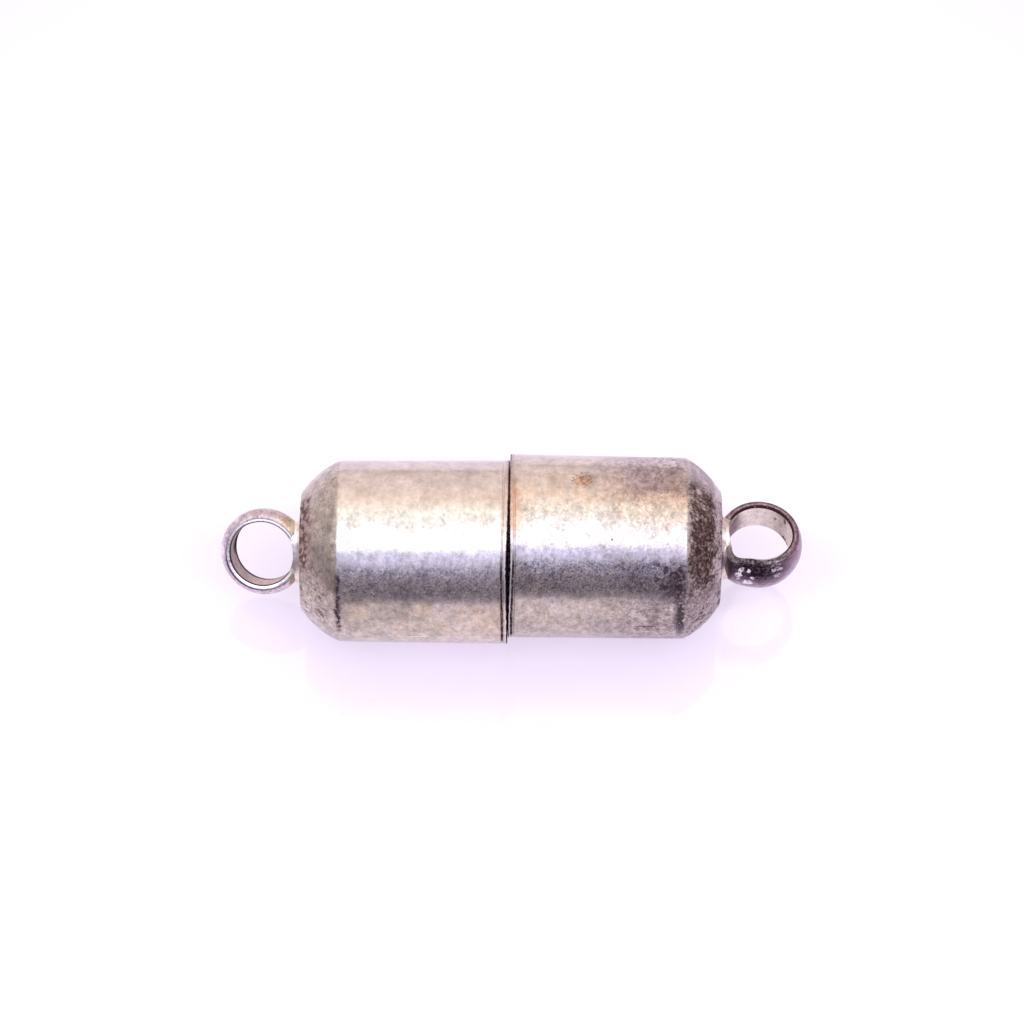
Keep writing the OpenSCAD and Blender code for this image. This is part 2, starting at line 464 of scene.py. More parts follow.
def magnet(name, place):
    """A disc magnet with a rounded rim, its face towards +X at 0."""
    bevel = MAGNET_BEVEL
    points = [(0, 0), (0, 0.9), (0, 1.8), (0, MAGNET_R - bevel)]
    points += arc((-bevel, MAGNET_R - bevel), bevel, 0, 90, 6)
    points += [(-MAGNET_L, MAGNET_R), (-MAGNET_L, 0)]
    disc = piece_from(spun(points, MAGNET_STEPS), name, place)
    shade(disc)
    return disc


def placing(side):
    """The matrix in millimetres for a half built along +X with its mouth at 0."""
    mouth = Vector((SEAM_X + side * SEAM_GAP / 2, MIDDLE_Y + side * BARREL_OFFSET / 2, AXIS_Z))
    move = Matrix.Translation(mouth)
    if side < 0:
        return move @ Matrix.Rotation(math.radians(LEFT_YAW), 4, "Z")
    return move @ MIRROR_X


# Shader helpers

def new_material(name):
    """A material, its node tree and the inputs of its Principled shader."""
    material = bpy.data.materials.new(name)
    material.use_nodes = True
    tree = material.node_tree
    return material, tree, tree.nodes["Principled BSDF"].inputs


def put(tree, kind, settings=None, values=None):
    """A new node with its settings, its inputs set to values or linked to other nodes' sockets."""
    made = tree.nodes.new(kind)
    for name, value in (settings or {}).items():
        setattr(made, name, value)
    for key, value in (values or {}).items():
        if isinstance(value, bpy.types.NodeSocket):
            tree.links.new(value, made.inputs[key])
        else:
            made.inputs[key].default_value = value
    return made


def calc(tree, operation, *terms):
    return put(tree, "ShaderNodeMath", {"operation": operation}, dict(enumerate(terms))).outputs[0]


def calc_vector(tree, operation, *terms):
    settings = {"operation": operation}
    return put(tree, "ShaderNodeVectorMath", settings, dict(enumerate(terms))).outputs["Vector"]


def length_of(tree, vector):
    return put(tree, "ShaderNodeVectorMath", {"operation": "LENGTH"}, {0: vector}).outputs["Value"]


def split(tree, vector):
    """A vector's X, Y and Z by name."""
    return put(tree, "ShaderNodeSeparateXYZ", values={"Vector": vector}).outputs


def mixed(tree, mask, below, above):
    """A colour that goes from below to above as the mask goes from 0 to 1."""
    # The mix node has a pair of inputs for each kind of value, with the same names.
    values = {0: mask, 6: below, 7: above}
    return put(tree, "ShaderNodeMix", {"data_type": "RGBA"}, values).outputs[2]


def slope(tree, value, low, high):
    """0 up to low, 1 from high on, and smooth between."""
    values = {"Value": value, "From Min": low, "From Max": high}
    return put(tree, "ShaderNodeMapRange", {"interpolation_type": "SMOOTHSTEP"}, values).outputs["Result"]


def cloud(tree, place, scale, seed, detail, roughness):
    """Soft noise about 0.5."""
    values = {"Vector": place, "W": seed, "Scale": scale, "Detail": detail, "Roughness": roughness}
    return put(tree, "ShaderNodeTexNoise", {"noise_dimensions": "4D"}, values).outputs["Fac"]


def swing(tree, place, scale, seed, detail, roughness):
    """Soft noise about 0."""
    return calc(tree, "SUBTRACT", cloud(tree, place, scale, seed, detail, roughness), 0.5)


def step(tree, value, level, edge):
    """0 below a level and 1 above it, smooth over an edge on both sides of it."""
    low = calc(tree, "SUBTRACT", level, edge)
    return slope(tree, value, low, calc(tree, "ADD", level, edge))


# Node groups that the metals share

def new_group(name, inputs, outputs):
    """An empty node group with its inputs, a place first, and its outputs by name."""
    group = bpy.data.node_groups.new(name, "ShaderNodeTree")
    for label, value in {"Place": (0, 0, 0), **inputs}.items():
        kind = "NodeSocketVector" if isinstance(value, tuple) else "NodeSocketFloat"
        socket = group.interface.new_socket(name=label, in_out="INPUT", socket_type=kind)
        socket.default_value = value
    for label in outputs:
        group.interface.new_socket(name=label, in_out="OUTPUT", socket_type="NodeSocketFloat")
    return group, group.nodes.new("NodeGroupInput").outputs, group.nodes.new("NodeGroupOutput").inputs


def mottle_group():
    """Ragged patches of about a size: an amount of 0 gives none, and 1 covers everything."""
    inputs = {"Size": 1.0, "Amount": 0.3, "Edge": 0.03, "Seed": 0.0, "Squash": (1, 1, 1), "Ragged": 0.62}
    group, given, result = new_group("mottle", inputs, ["Mask"])
    scale = calc(group, "DIVIDE", 1.0, given["Size"])
    squashed = calc_vector(group, "MULTIPLY", given["Place"], given["Squash"])
    patches = cloud(group, squashed, scale, given["Seed"], 5.0, given["Ragged"])
    level = calc(group, "MULTIPLY_ADD", given["Amount"], -0.5, 0.75)
    group.links.new(step(group, patches, level, given["Edge"]), result["Mask"])
    return group


def tone_group():
    """How much lighter or darker than its mean a place is, from speckle of three sizes."""
    inputs = {"Fine": 0.5, "Middle": 0.5, "Coarse": 0.5, "Seed": 0.0}
    group, given, result = new_group("tone", inputs, ["Tone"])
    tone = 1.0
    drawn = calc_vector(group, "MULTIPLY", given["Place"], (1.0, 0.8, 0.8))
    for label, scale, detail in (("Fine", 11.0, 1.5), ("Middle", 5.0, 2.0), ("Coarse", 2.0, 3.0)):
        speckle = swing(group, drawn, scale, given["Seed"], detail, 0.6)
        tone = calc(group, "MULTIPLY_ADD", speckle, given[label], tone)
    group.links.new(calc(group, "MAXIMUM", tone, 0.1), result["Tone"])
    return group


def spot_group():
    """One ragged spot at a centre, with its half sizes along each axis."""
    inputs = {"Centre": (0, 0, 0), "Reach": (1, 1, 1), "Ragged": 0.5}
    group, given, result = new_group("spot", inputs, ["Mask"])
    away = calc_vector(group, "SUBTRACT", given["Place"], given["Centre"])
    distance = length_of(group, calc_vector(group, "DIVIDE", away, given["Reach"]))
    rough = swing(group, given["Place"], 7.0, 3.0, 5.0, 0.7)
    distance = calc(group, "MULTIPLY_ADD", rough, calc(group, "MULTIPLY", given["Ragged"], 4.0), distance)
    group.links.new(slope(group, distance, 1.3, 0.3), result["Mask"])
    return group


def stretch_group():
    """A stretch along X between two places, with a ragged edge."""
    inputs = {"From": 0.0, "To": 1.0, "Edge": 0.1, "Ragged": 0.0}
    group, given, result = new_group("stretch", inputs, ["Mask"])
    rough = swing(group, given["Place"], 3.0, 8.0, 4.0, 0.65)
    along = calc(group, "MULTIPLY_ADD", rough, given["Ragged"], split(group, given["Place"])["X"])
    begun, ended = [step(group, along, given[end], given["Edge"]) for end in ("From", "To")]
    mask = calc(group, "MULTIPLY", begun, calc(group, "SUBTRACT", 1.0, ended))
    group.links.new(mask, result["Mask"])
    return group


def skin_group():
    """Heights in thousandths of a millimetre for metal's fine grain, long waves and hairlines."""
    inputs = {"Grain": 1.0, "Waves": 3.0, "Hairlines": 1.0}
    group, given, result = new_group("metal_skin", inputs, ["Height"])
    grain = calc(group, "MULTIPLY", cloud(group, given["Place"], 11.0, 1.0, 3.0, 0.7), given["Grain"])
    waves = calc(group, "MULTIPLY", cloud(group, given["Place"], 1.7, 2.0, 3.0, 0.5), given["Waves"])
    drawn = put(group, "ShaderNodeMapping", values={"Vector": given["Place"], "Scale": (0.5, 2.2, 2.2),
                                                    "Rotation": (0.2, 0.5, 0.3)}).outputs[0]
    ridge = calc(group, "ABSOLUTE", swing(group, drawn, 2.0, 5.0, 2.0, 0.5))
    thin = slope(group, ridge, 0.006, 0.001)
    here = slope(group, cloud(group, given["Place"], 1.1, 6.0, 2.0, 0.5), 0.5, 0.62)
    lines = calc(group, "MULTIPLY", thin, here)
    cut = calc(group, "MULTIPLY", lines, given["Hairlines"])
    height = calc(group, "SUBTRACT", calc(group, "ADD", grain, waves), cut)
    group.links.new(height, result["Height"])
    return group


def ring_group():
    """Where a place lies on a loop: its distance from the hole's axis, and its height along it."""
    group, given, result = new_group("ring_place", {}, ["Radius", "Height"])
    apart = split(group, given["Place"])
    squares = calc(group, "MULTIPLY_ADD", apart["Y"], apart["Y"], calc(group, "POWER", apart["X"], 2.0))
    group.links.new(calc(group, "SQRT", squares), result["Radius"])
    group.links.new(apart["Z"], result["Height"])
    return group


def around_group():
    """A place's degrees up from the front of its barrel, and its distance from the mouth's edge."""
    group, given, result = new_group("around", {"Lean": 0.0}, ["Degrees", "Lip"])
    apart = split(group, given["Place"])
    angle = calc(group, "ARCTAN2", apart["Z"], calc(group, "MULTIPLY", apart["Y"], -1.0))
    degrees = calc(group, "DEGREES", angle)
    away = calc(group, "DIVIDE", calc(group, "SUBTRACT", degrees, float(DENT_AT)), float(DENT_WIDTH))
    dent = calc(group, "EXPONENT", calc(group, "MULTIPLY", calc(group, "MULTIPLY", away, away), -1.0))
    leaning = calc(group, "MULTIPLY", calc(group, "DIVIDE", apart["Y"], MOUTH_R), given["Lean"])
    reach = calc(group, "ADD", calc(group, "MULTIPLY_ADD", dent, -DENT_DEPTH, MOUTH_REACH), leaning)
    rough = swing(group, given["Place"], 6.0, 9.0, 3.0, 0.6)
    lip = calc(group, "MULTIPLY_ADD", rough, 0.07, calc(group, "ADD", apart["X"], reach))
    group.links.new(degrees, result["Degrees"])
    group.links.new(lip, result["Lip"])
    return group


GROUPS = {
    "mottle": mottle_group(),
    "tone": tone_group(),
    "spot": spot_group(),
    "stretch": stretch_group(),
    "skin": skin_group(),
    "ring": ring_group(),
    "around": around_group(),
}


# Metals

SILVER = (0.62, 0.55, 0.49)
BRIGHT_SILVER = (0.95, 0.91, 0.88)
DULL_SILVER = (0.55, 0.49, 0.44)
WARM_STAIN = (0.58, 0.47, 0.34)
OLIVE_STAIN = (0.47, 0.42, 0.32)
STRAW_STAIN = (0.58, 0.52, 0.4)
GREY_STAIN = (0.37, 0.33, 0.29)
PURPLE_STAIN = (0.34, 0.26, 0.29)
BROWN_STAIN = (0.33, 0.21, 0.14)
DARK_STAIN = (0.24, 0.185, 0.19)
BROWN_OXIDE = (0.13, 0.07, 0.06)
DULL_BLACK = (0.02, 0.008, 0.012)
DARK_SPECK = (0.085, 0.065, 0.08)
ORANGE_RUST = (0.5, 0.25, 0.11)
MAUVE = (0.64, 0.53, 0.59)
DARK_MAUVE = (0.2, 0.13, 0.155)
CREAM = (0.82, 0.73, 0.62)
GOLDEN = (0.54, 0.4, 0.27)
PALE_GOLD = (0.78, 0.66, 0.55)
OLD_GOLD = (0.42, 0.31, 0.24)
GREY_SOLDER = (0.66, 0.58, 0.52)
BARE_CHIP = (0.8, 0.76, 0.77)
NICKEL = (0.7, 0.66, 0.6)

# Oxide isn't metal, and shines less than the Principled shader's usual surface
OXIDE_SHINE = 0.12
MICRON = 0.000001

# Patches as long one way as another, and patches drawn out round the barrel
EVEN = (1, 1, 1)
DRAWN_ROUND = (1.0, 0.6, 0.6)

# A place along a barrel that is beyond its end
BEYOND_END = 20.0


class Finish:
    """A metal surface in millimetres in its own frame, its looks built up coat by coat."""

    def __init__(self, name, frame_matrix, colour, roughness):
        self.material, self.tree, self.shader = new_material(name)
        self.shader["Specular IOR Level"].default_value = OXIDE_SHINE
        self.colour = (*colour, 1)
        self.roughness = roughness
        self.metal = 1.0
        self.place = self.place_in(frame_matrix)

    def place_in(self, frame_matrix):
        """Object coordinates in the frame of a matrix in millimetres, which may be mirrored in X."""
        inverse = frame_matrix.inverted()
        turn = inverse.to_3x3()
        flip = -1 if turn.determinant() < 0 else 1
        turn = turn @ Matrix.Diagonal((flip, 1, 1))
        coordinates = self.tree.nodes.new("ShaderNodeTexCoord").outputs["Object"]
        values = {"Vector": coordinates, "Location": inverse.translation, "Rotation": turn.to_euler(),
                  "Scale": (flip / MM, 1 / MM, 1 / MM)}
        return put(self.tree, "ShaderNodeMapping", values=values).outputs[0]

    def group(self, name, values=None):
        """One of the shared groups, given this surface's place and other values by name."""
        given = {"Place": self.place, **(values or {})}
        return put(self.tree, "ShaderNodeGroup", {"node_tree": GROUPS[name]}, given).outputs

    def mottle(self, size, amount, edge, seed, squash=EVEN, ragged=0.62):
        values = {"Size": size, "Amount": amount, "Edge": edge, "Seed": seed, "Squash": squash,
                  "Ragged": ragged}
        return self.group("mottle", values)["Mask"]

    def spot(self, centre, reach, ragged=0.4):
        return self.group("spot", {"Centre": centre, "Reach": reach, "Ragged": ragged})["Mask"]

    def stretch(self, start, edge, ragged=0.0, stop=BEYOND_END):
        values = {"From": start, "To": stop, "Edge": edge, "Ragged": ragged}
        return self.group("stretch", values)["Mask"]

    def calc(self, operation, *terms):
        return calc(self.tree, operation, *terms)

    def both(self, *masks):
        """Where all of the masks are, each of them a socket or a share."""
        result = masks[0]
        for mask in masks[1:]:
            result = self.calc("MULTIPLY", result, mask)
        return result

    def without(self, mask):
        """Where the mask isn't."""
        return self.calc("SUBTRACT", 1.0, mask)

    def rise(self, value, low, high):
        return slope(self.tree, value, low, high)

    def between(self, value, low, high, edge):
        """1 between two values, fading to 0 over an edge outside them."""
        return self.both(self.rise(value, low - edge, low), self.rise(value, high + edge, high))

    def mix(self, below, above, mask):
        """A number that goes from below to above as the mask goes from 0 to 1."""
        values = {0: mask, 2: below, 3: above}
        return put(self.tree, "ShaderNodeMix", {"data_type": "FLOAT"}, values).outputs[0]

    def coat(self, masks, colour, roughness=None, metal=None):
        """Covers where all the masks are with a colour, and maybe another roughness and metal."""
        mask = self.both(*masks)
        self.colour = mixed(self.tree, mask, self.colour, (*colour, 1))
        if roughness is not None:
            self.roughness = self.mix(self.roughness, roughness, mask)
        if metal is not None:
            self.metal = self.mix(self.metal, metal, mask)

    def coats(self, rows):
        """One coat over another, each by its masks, colour, roughness and metal."""
        for row in rows:
            self.coat(*row)

    def tone(self, fine, middle, coarse, seed):
        """Speckles the colour lighter and darker."""
        tone = self.group("tone", {"Fine": fine, "Middle": middle, "Coarse": coarse, "Seed": seed})["Tone"]
        values = {0: self.colour, "Scale": tone}
        scaled = put(self.tree, "ShaderNodeVectorMath", {"operation": "SCALE"}, values)
        self.colour = scaled.outputs["Vector"]

    def done(self, grain, waves, hairlines):
        """Sets the shader and the fine relief, with heights in thousandths of a millimetre."""
        skin = self.group("skin", {"Grain": grain, "Waves": waves, "Hairlines": hairlines})
        bump = put(self.tree, "ShaderNodeBump", values={"Height": skin["Height"], "Distance": MICRON})
        self.tree.links.new(bump.outputs[0], self.shader["Normal"])
        for key, value in (("Base Color", self.colour), ("Roughness", self.roughness),
                           ("Metallic", self.metal)):
            if isinstance(value, bpy.types.NodeSocket):
                self.tree.links.new(value, self.shader[key])
            else:
                self.shader[key].default_value = value
        return self.material


def on_barrel(x, up_from_front):
    """A place on a barrel's side, by its distance from the mouth and its degrees up from the front."""
    angle = math.radians(up_from_front)
    return (x, -BARREL_R * math.cos(angle), BARREL_R * math.sin(angle))


def coat_spots(finish, spots):
    """Spots by distance from the mouth, degrees up from the front and half sizes in millimetres."""
    for colour, x, degrees, reach_x, reach_round, strength in spots:
        spot = finish.spot(on_barrel(x, degrees), (reach_x, reach_round, reach_round))
        rough = 0.4 if sum(colour) < 0.5 else None
        finish.coat((spot, strength), colour, rough)


def coat_specks(finish, where, seed, dark, light):
    """Small dark and light specks of worn plate where the mask is."""
    finish.coats([
        ((finish.mottle(0.105, 0.34, 0.08, seed), where, dark), DARK_SPECK, 0.35),
        ((finish.mottle(0.06, 0.42, 0.08, seed + 0.2), where, dark), DARK_SPECK, 0.35),
        ((finish.mottle(0.06, 0.38, 0.09, seed + 0.5), where, light), BRIGHT_SILVER),
    ])


def coat_mouth(finish, around, dirt_from, dirt_to, halo):
    """The stain about the gap, the dirt in the groove, the lip's worn edge and painted shade in the gap."""
    mottle, between, rise = finish.mottle, finish.between, finish.rise
    both, mix = finish.both, finish.mix
    degrees = around["Degrees"]
    lip = around["Lip"]
    low = between(degrees, -8, 50, 12)
    ragged = mottle(0.22, 0.56, 0.16, 61.0)
    dirt = mottle(0.085, 0.74, 0.12, 62.0, DRAWN_ROUND)
    groove = both(between(lip, dirt_from, dirt_to, 0.04), dirt)
    # Painted shade on the mouth's face in the gap between the halves, weaker at the top
    gap = both(rise(lip, 0.025, 0.01), mix(0.97, 0.35, rise(degrees, 90, 100)))
    finish.coats([
        # masks and strength, colour, roughness, metal
        ((rise(lip, 0.5, 0.1), between(degrees, 76, 98, 10), ragged, halo), (0.5, 0.27, 0.17), 0.25),
        ((rise(lip, 0.16, 0.05), rise(degrees, 100, 116), 0.5), BROWN_STAIN, 0.3),
        ((rise(lip, 0.45, 0.15), ragged, low, 0.5), GREY_STAIN, 0.3),
        ((groove, mix(0.08, 0.98, low)), (0.035, 0.01, 0.018), 0.7, 0.2),
        ((between(lip, 0.03, 0.06, 0.02), low, 0.5), BRIGHT_SILVER, 0.2),
        ((rise(lip, 0.045, 0.025), mottle(0.1, 0.7, 0.1, 63.0)), BROWN_OXIDE, 0.6, 0.3),
        ((gap,), (0.018, 0.003, 0.006), 0.9, 0.0),
    ])


def left_plate():
    """Lightly tarnished silver plate: satin, speckled, browner on the shoulder."""
    finish = Finish("left_silver_plate", left_place @ MIRROR_X, SILVER, 0.17)
    mottle, between, rise = finish.mottle, finish.between, finish.rise
    both, mix, stretch = finish.both, finish.mix, finish.stretch
    around = finish.group("around", {"Lean": LEFT_LEAN})
    degrees = around["Degrees"]
    end = LEFT_BARREL["length"]
    start = end - LEFT_BARREL["shoulder"]
    shoulder = stretch(start, 0.04, 0.05)
    plain = finish.without(shoulder)
    low = rise(degrees, 32, 22)
    dark_band = both(between(degrees, 34, 49, 6), plain)
    smooth = both(rise(degrees, 80, 96), plain)
    finish.coats([
        # masks and strength, colour, roughness
        ((mottle(0.9, 0.5, 0.16, 1.0), 0.5), DULL_SILVER),
        ((low, 0.35), STRAW_STAIN),
        ((mottle(0.6, 0.5, 0.12, 2.0, DRAWN_ROUND), low, 0.6), OLIVE_STAIN),
        ((mottle(0.34, 0.42, 0.12, 2.2, DRAWN_ROUND), low, 0.5), (0.68, 0.52, 0.36)),
        ((mottle(0.5, 0.44, 0.12, 2.5), 0.3), WARM_STAIN),
        ((mottle(0.5, 0.44, 0.1, 2.7), dark_band, 0.45), (0.4, 0.33, 0.4)),
        ((stretch(3.9, 0.8, 0.4), low, 0.4), GREY_STAIN),
        ((stretch(2.6, 0.8, 0.4), between(degrees, 16, 27, 5), 0.45), (0.34, 0.31, 0.24), 0.2),
    ])
    coat_spots(finish, [
        # colour, distance from the mouth, degrees up, half length, half width, strength
        (WARM_STAIN, 4.88, 20, 0.4, 0.5, 0.7),
        (WARM_STAIN, 2.83, 22, 0.32, 0.4, 0.7),
        (WARM_STAIN, 0.95, 17, 0.22, 0.6, 0.7),
        (PURPLE_STAIN, 3.66, 41, 0.4, 0.22, 0.6),
        (BROWN_OXIDE, 1.87, 39, 0.2, 0.15, 0.4),
    ])
    facing = both(between(degrees, 42, 76, 20), mottle(0.5, 0.56, 0.2, 6.0))
    finish.coats([
        ((shoulder, 0.45), OLIVE_STAIN, 0.26),
        ((facing, shoulder, 0.55), (0.3, 0.26, 0.22), 0.3),
        ((mottle(0.3, 0.42, 0.12, 6.5), shoulder, 0.5), (0.38, 0.27, 0.2), 0.3),
        ((shoulder, rise(degrees, 34, 18), 0.35), (0.62, 0.54, 0.48), 0.26),
    ])
    fine = mix(mix(0.65, 1.2, dark_band), 0.35, smooth)
    finish.tone(fine, mix(1.1, 0.6, smooth), mix(1.2, 0.7, smooth), 3.0)
    coat_specks(finish, mix(mix(0.2, 1.0, dark_band), 0.03, smooth), 5.0, 0.6, 0.2)
    coat_specks(finish, shoulder, 5.7, 0.25, 0.0)
    # The strip by the end face is maroon above, and has brown specks and cream dots below.
    strip = both(stretch(end - 0.34, 0.1, 0.5), between(degrees, 52, 108, 14))
    below = both(stretch(start + 0.35, 0.25, 0.5), between(degrees, -30, 50, 12))
    crease = both(stretch(start - 0.11, 0.07, 0.4, start + 0.06), between(degrees, 4, 44, 6))
    finish.coats([
        # masks and strength, colour, roughness, metal
        ((strip, 0.6), (0.36, 0.24, 0.2), 0.35),
        ((mottle(0.16, 0.52, 0.05, 7.0, ragged=0.68), strip, 0.85), (0.07, 0.024, 0.021), 0.6, 0.1),
        ((mottle(0.13, 0.38, 0.08, 7.8), below, 0.4), (0.86, 0.78, 0.68), 0.28),
        ((mottle(0.2, 0.4, 0.06, 7.5, ragged=0.7), below, 0.6), (0.09, 0.045, 0.035), 0.6, 0.2),
        ((crease, mottle(0.13, 0.66, 0.1, 8.0), 0.95), (0.045, 0.018, 0.032), 0.5, 0.7),
    ])
    # A painted highlight, a bright dash low on the side, then a bright scratch
    coat_spots(finish, [
        (BRIGHT_SILVER, 2.95, -6, 0.55, 0.03, 1.0),
        (BRIGHT_SILVER, 0.75, 34, 0.12, 0.02, 1.0),
    ])
    coat_mouth(finish, around, 0.14, 0.185, 0.4)
    return finish.done(2.2, 8.0, 1.5)


def right_plate():
    """Heavily tarnished silver plate: clean by the mouth, brown and black towards its shoulder."""
    finish = Finish("right_silver_plate", right_place @ MIRROR_X, SILVER, 0.17)
    mottle, between, rise = finish.mottle, finish.between, finish.rise
    both, mix, stretch = finish.both, finish.mix, finish.stretch
    around = finish.group("around")
    degrees = around["Degrees"]
    end = RIGHT_BARREL["length"]
    start = end - RIGHT_BARREL["shoulder"]
    far = stretch(3.4, 1.2, 0.8)
    shoulder = stretch(start + 0.05, 0.05, 0.1)
    plain = finish.without(shoulder)
    low = rise(degrees, 30, 20)
    dark_band = both(between(degrees, 36, 50, 6), plain)
    smooth = both(rise(degrees, 84, 100), finish.without(far))
    orange = both(mottle(0.28, 0.5, 0.12, 14.0), between(degrees, 86, 108, 10))
    purple = both(mottle(0.26, 0.5, 0.08, 15.0), far, rise(degrees, 90, 104))
    finish.coats([
        # masks and strength, colour, roughness
        ((mottle(0.9, 0.5, 0.16, 11.0), 0.5), DULL_SILVER),
        ((low, 0.3), STRAW_STAIN),
        ((mottle(0.6, 0.5, 0.12, 12.5, DRAWN_ROUND), low, 0.6), OLIVE_STAIN),
        ((rise(degrees, 20, 8), 0.4), GREY_STAIN),
        ((mottle(0.45, 0.46, 0.12, 12.0), 0.4), WARM_STAIN),
        ((far, 0.4), (0.47, 0.39, 0.36), 0.22),
        ((far, between(degrees, 94, 112, 7), 0.55), (0.37, 0.28, 0.235), 0.22),
        ((far, rise(degrees, 14, 4), 0.15), (0.3, 0.24, 0.25), 0.25),
        ((far, between(degrees, 80, 94, 8), 0.6), (0.6, 0.45, 0.34), 0.22),
        ((orange, 0.35), (0.56, 0.38, 0.26)),
        ((purple, 0.6), (0.29, 0.205, 0.23), 0.25),
        ((mottle(0.5, 0.44, 0.1, 15.5), dark_band, 0.45), (0.36, 0.3, 0.35)),
    ])
    coat_spots(finish, [
        # colour, distance from the mouth, degrees up, half length, half width, strength
        (ORANGE_RUST, 2.38, 108, 0.34, 0.3, 0.6),
        ((0.62, 0.4, 0.26), 0.28, 80, 0.26, 0.55, 0.6),
        (BROWN_OXIDE, 2.3, 111, 0.1, 0.08, 0.6),
        (PURPLE_STAIN, 4.24, 113, 0.7, 0.45, 0.6),
        (BROWN_STAIN, 5.32, 104, 0.18, 0.45, 0.6),
        (BROWN_OXIDE, 3.33, 67, 0.06, 0.06, 0.9),
        (BROWN_OXIDE, 0.52, 49, 0.12, 0.16, 0.6),
        (BROWN_OXIDE, 0.64, 41, 0.26, 0.2, 0.55),
        (BROWN_OXIDE, 4.5, 3, 0.4, 0.06, 0.95),
    ])
    rust_spot = finish.spot(on_barrel(2.36, 110), (0.45, 0.4, 0.4))
    creamy = both(mottle(0.24, 0.52, 0.1, 20.0), shoulder, rise(degrees, 48, 34))
    last = both(stretch(end - 0.36, 0.1, 0.15), mottle(0.2, 0.66, 0.2, 20.5))
    finish.coats([
        ((rust_spot, mottle(0.075, 0.48, 0.08, 23.0), 0.7), BROWN_OXIDE, 0.35),
        ((shoulder, 0.8), (0.46, 0.375, 0.35), 0.28),
        ((creamy, 0.8), (0.74, 0.64, 0.6), 0.26),
        ((last, 0.8), (0.46, 0.37, 0.42), 0.3),
    ])
    fine = mix(mix(0.7, 1.2, dark_band), 0.4, smooth)
    finish.tone(fine, mix(1.3, 0.7, smooth), mix(0.9, 1.4, far), 13.0)
    coat_specks(finish, mix(mix(0.25, 1.0, dark_band), 0.05, smooth), 16.0, 0.8, 0.2)
    coat_specks(finish, far, 16.5, mix(0.18, 0.4, dark_band), 0.12)
    blots = both(mottle(0.22, 0.45, 0.05, 16.8, ragged=0.68), far, rise(degrees, 60, 52), plain)
    brown_dots = both(mottle(0.11, 0.36, 0.07, 16.3), far, low, plain)
    top_specks = both(mottle(0.12, 0.38, 0.05, 16.6, DRAWN_ROUND), far, rise(degrees, 88, 100))
    finish.coats([
        # masks and strength, colour, roughness, metal
        ((blots, mix(0.35, 0.95, dark_band)), (0.06, 0.03, 0.045), 0.5, 0.4),
        ((brown_dots, 0.6), (0.17, 0.105, 0.1), 0.4, 0.7),
        ((top_specks, 0.6), (0.2, 0.125, 0.125), 0.35),
    ])
    for x, up, reach, ragged, seed in (
        # distance from the mouth and degrees up of a dark cluster and of a streak below it
        (5.46, 38, (0.56, 0.75, 0.75), 0.45, 21.0),
        (5.62, 14, (0.2, 1.3, 1.3), 0.3, 22.0),
    ):
        spot = finish.spot(on_barrel(x, up), reach, ragged)
        dark = mottle(0.13, 0.62, 0.04, seed, ragged=0.68)
        finish.coat((spot, dark, plain, 0.88), (0.03, 0.01, 0.02), 0.6, 0.1)
    # The shoulder is maroon in patches round its middle, with dark flecks thick on them.
    round_middle = both(stretch(start + 0.14, 0.1, 0.6, start + 0.95), rise(degrees, 20, 44))
    patches = both(round_middle, mottle(0.52, 0.6, 0.05, 17.0, ragged=0.72))
    flecks = mottle(0.22, mix(0.4, 0.52, patches), 0.05, 18.0, ragged=0.72)
    small_flecks = mottle(0.085, mix(0.34, 0.48, patches), 0.06, 19.0)
    pale_dots = both(mottle(0.095, 0.38, 0.06, 19.5), mix(0.65, 0.3, patches))
    finish.coats([
        ((shoulder, rise(degrees, 40, 24), 0.75), DARK_STAIN, 0.3),
        ((patches, 0.9), (0.09, 0.036, 0.032), 0.5, 0.45),
        ((flecks, shoulder, 0.85), (0.055, 0.018, 0.018), 0.6, 0.2),
        ((small_flecks, shoulder, 0.85), (0.026, 0.008, 0.01), 0.6, 0.1),
        ((shoulder, between(degrees, 22, 29, 4), 0.4), DARK_STAIN, 0.3),
        ((shoulder, rise(degrees, 104, 120), 0.5), (0.56, 0.47, 0.49), 0.28),
        ((pale_dots, shoulder), (0.6, 0.51, 0.43), 0.3, 1.0),
    ])
    coat_mouth(finish, around, 0.08, 0.13, 0.8)
    return finish.done(2.2, 8.0, 1.5)


def loop_finish(name, frame_matrix, colour, roughness):
    """A loop's metal, with its distance from the hole's axis and its height along it."""
    finish = Finish(name, frame_matrix, colour, roughness)
    ring = finish.group("ring")
    return finish, ring["Radius"], ring["Height"]


def coat_chips(finish, here, chips):
    """Spots of one loop by colour, centre, half sizes and strength, where the mask is."""
    for colour, centre, reach, strength in chips:
        chip = finish.rise(finish.spot(centre, reach, 0.9), 0.3, 0.6)
        finish.coat((chip, here, strength), colour, 0.28, 1.0)


